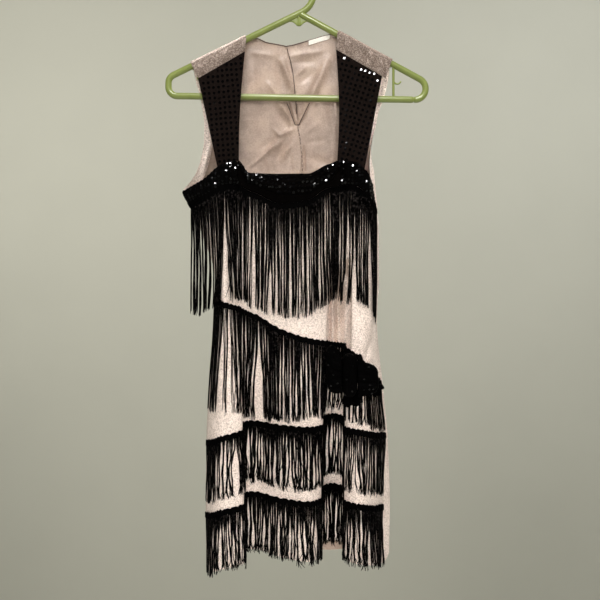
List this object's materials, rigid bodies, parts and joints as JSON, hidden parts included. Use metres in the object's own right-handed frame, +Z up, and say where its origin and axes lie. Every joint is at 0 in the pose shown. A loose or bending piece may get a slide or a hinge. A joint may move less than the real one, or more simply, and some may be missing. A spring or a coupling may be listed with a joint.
{
  "type": "fringed flapper dress on a tubular hanger",
  "caption": "Sleeveless foil-knit dress with sequin straps and bust band, tiers of black fringe and a hip bow, hanging flat on a plastic tubular hanger.",
  "frame": {"origin": "underside of the crown of the hanger's hook, where it hangs on a rod", "axes": "+Z up, +X to the right as seen from the front, the front of the dress faces -Y"},
  "size_m": [0.4215, 0.1151, 0.9574],
  "materials": {
    "foil_knit": "speckled silver foil on a soft knit, satin wrong side",
    "sequin_cloth": "black cloth covered in small glossy sequins",
    "black_tape": "matte woven heading tape",
    "black_fringe": "rows of fine glossy rayon threads",
    "label_tape": "blank woven satin tape",
    "green_plastic": "smooth moulded plastic, slightly glossy"
  },
  "bodies": {
    "root": {"front_panel": "foil_knit", "back_left": "foil_knit", "back_right": "foil_knit", "yoke_left": "foil_knit", "yoke_right": "foil_knit", "strap_left": "sequin_cloth", "strap_right": "sequin_cloth", "bust_band": "sequin_cloth", "tape_bust": "black_tape", "fringe_bust": "black_fringe", "tape_hip": "black_tape", "fringe_hip": "black_fringe", "tape_upper_skirt": "black_tape", "fringe_upper_skirt": "black_fringe", "tape_lower_skirt": "black_tape", "fringe_lower_skirt": "black_fringe", "bow_loop_left": "sequin_cloth", "bow_loop_right": "sequin_cloth", "bow_tail_low": "sequin_cloth", "bow_tail_right": "sequin_cloth", "bow_knot": "sequin_cloth", "neck_label": "label_tape", "hanger": "green_plastic"}
  },
  "joints": []
}
